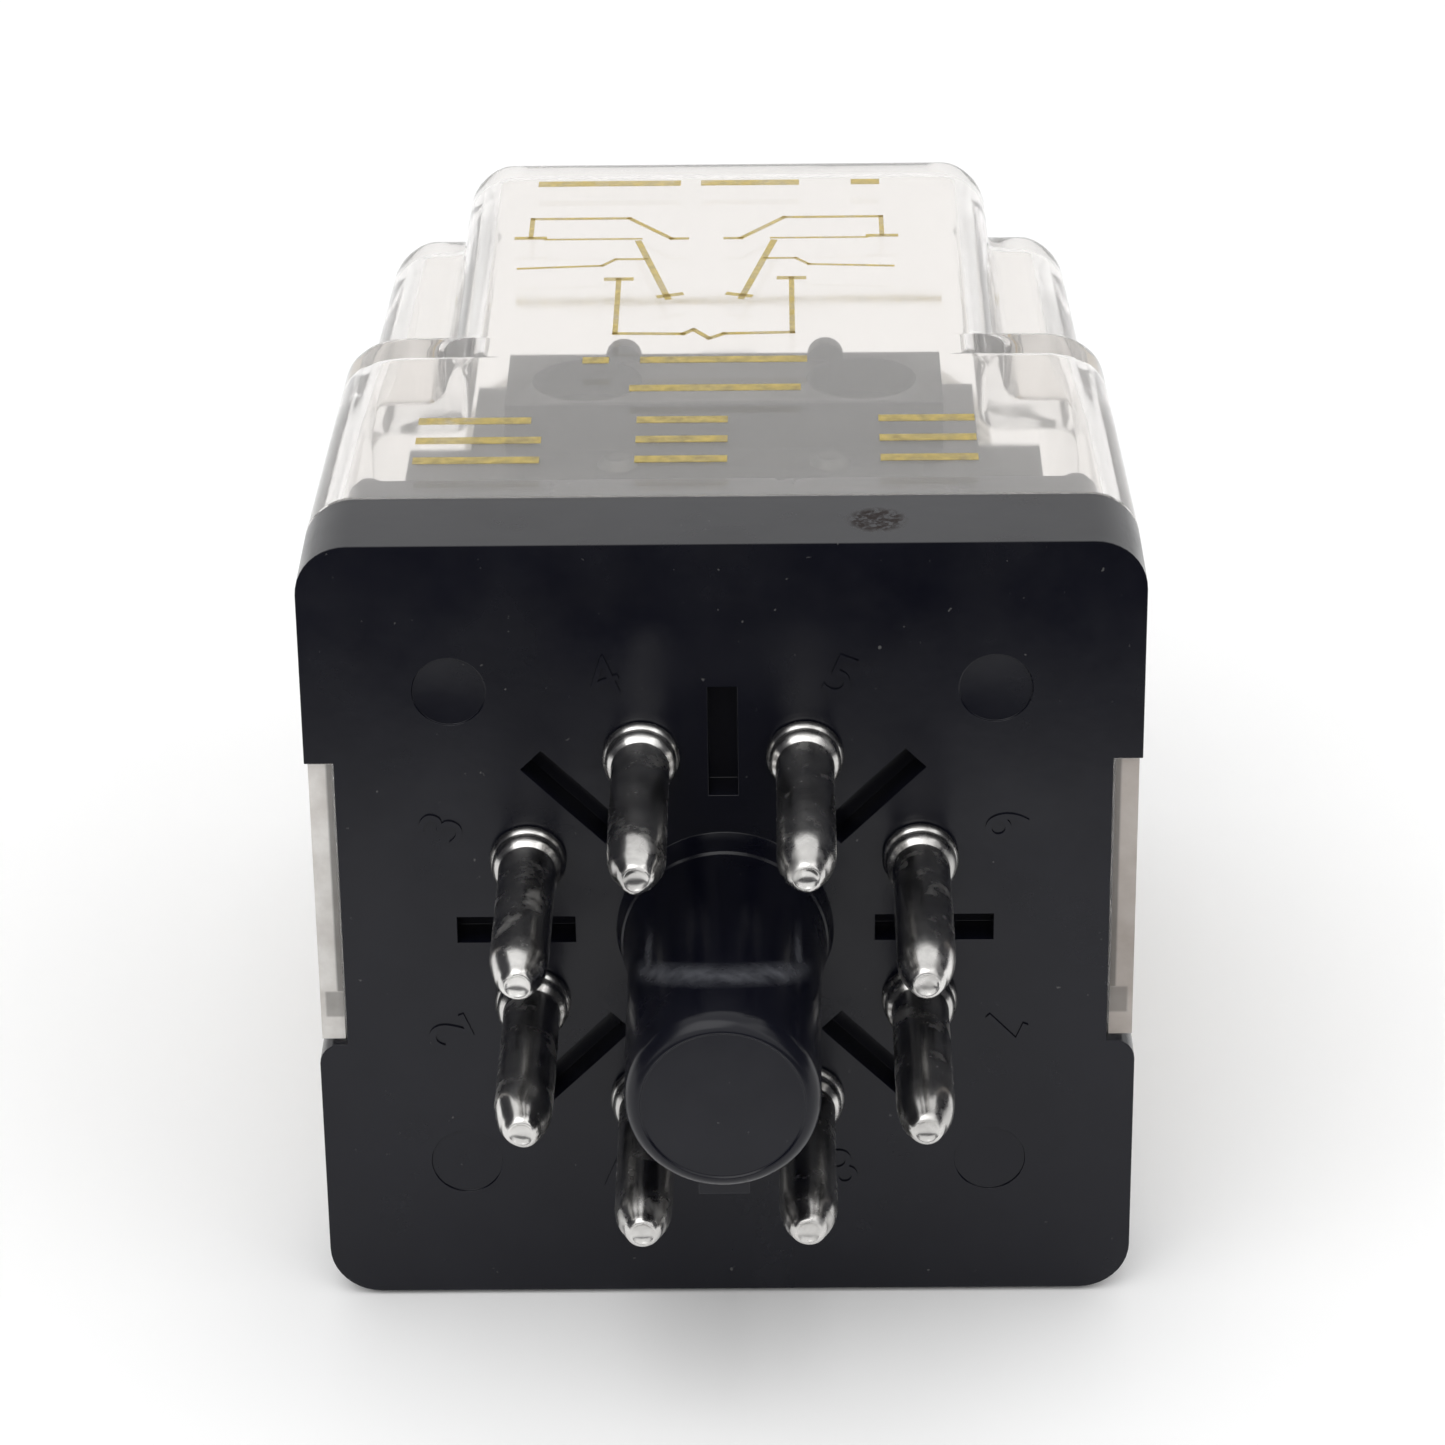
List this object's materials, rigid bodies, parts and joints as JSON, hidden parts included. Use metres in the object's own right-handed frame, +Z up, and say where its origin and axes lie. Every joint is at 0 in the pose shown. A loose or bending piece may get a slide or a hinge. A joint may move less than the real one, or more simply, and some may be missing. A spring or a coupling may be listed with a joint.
{
  "type": "plug-in relay",
  "caption": "Plug-in relay with a clear stepped cover, a black octal plug base with a key post, and a hinged armature that swings contact blades between fixed contacts.",
  "frame": {"origin": "centre of the bounding box at the level the relay rests on, lying on its side", "axes": "+Y from the pins towards the far end of the cover, +Z up through the printed side, key of the post towards -Z"},
  "size_m": [0.0342, 0.06, 0.0351],
  "materials": {
    "black_moulding": "moulded phenolic, semi gloss",
    "clear_cover": "clear polycarbonate",
    "tinned_brass": "tin plated",
    "plated_steel": "zinc plated",
    "copper": "bare copper",
    "contact_silver": "silver alloy",
    "spring_bronze": "phosphor bronze strip",
    "bobbin_nylon": "moulded nylon",
    "coil_tape": "polyester tape",
    "wire_sleeve": "PVC sleeve"
  },
  "bodies": {
    "relay_body": {"base": "black_moulding", "contact_block": "black_moulding", "cover": "clear_cover", "pin_1": "tinned_brass", "pin_2": "tinned_brass", "pin_3": "tinned_brass", "pin_4": "tinned_brass", "pin_5": "tinned_brass", "pin_6": "tinned_brass", "pin_7": "tinned_brass", "pin_8": "tinned_brass", "coil_lug_left": "tinned_brass", "coil_lug_right": "tinned_brass", "frame": "plated_steel", "core": "plated_steel", "hinge_pin": "plated_steel", "return_spring": "plated_steel", "block_screw_left": "plated_steel", "block_screw_right": "plated_steel", "heel_screw_left": "plated_steel", "heel_screw_right": "plated_steel", "shading_ring": "copper", "winding": "copper", "coil_lead_left": "copper", "coil_lead_right": "copper", "braid_left": "copper", "braid_right": "copper", "no_contact_left": "contact_silver", "no_contact_right": "contact_silver", "nc_contact_left": "contact_silver", "nc_contact_right": "contact_silver", "no_strip_left": "spring_bronze", "no_strip_right": "spring_bronze", "nc_strip_left": "spring_bronze", "nc_strip_right": "spring_bronze", "bobbin": "bobbin_nylon", "coil_tape": "coil_tape", "no_lead_left": "wire_sleeve", "no_lead_right": "wire_sleeve"},
    "armature_assembly": {"armature": "plated_steel", "carrier_left": "black_moulding", "carrier_right": "black_moulding", "carrier_rivet_left": "plated_steel", "carrier_rivet_right": "plated_steel", "blade_left": "spring_bronze", "blade_right": "spring_bronze", "moving_contact_left": "contact_silver", "moving_contact_right": "contact_silver"}
  },
  "joints": [
    {"name": "armature_hinge", "type": "hinge", "parent": "relay_body", "child": "armature_assembly", "pos_m": [0, 0.02045, 0.0253], "axis": [-1, 0, 0], "range_deg": [0, 3.5], "stiffness_Nm_per_rad": 0.02, "springref_deg": -28.65}
  ]
}
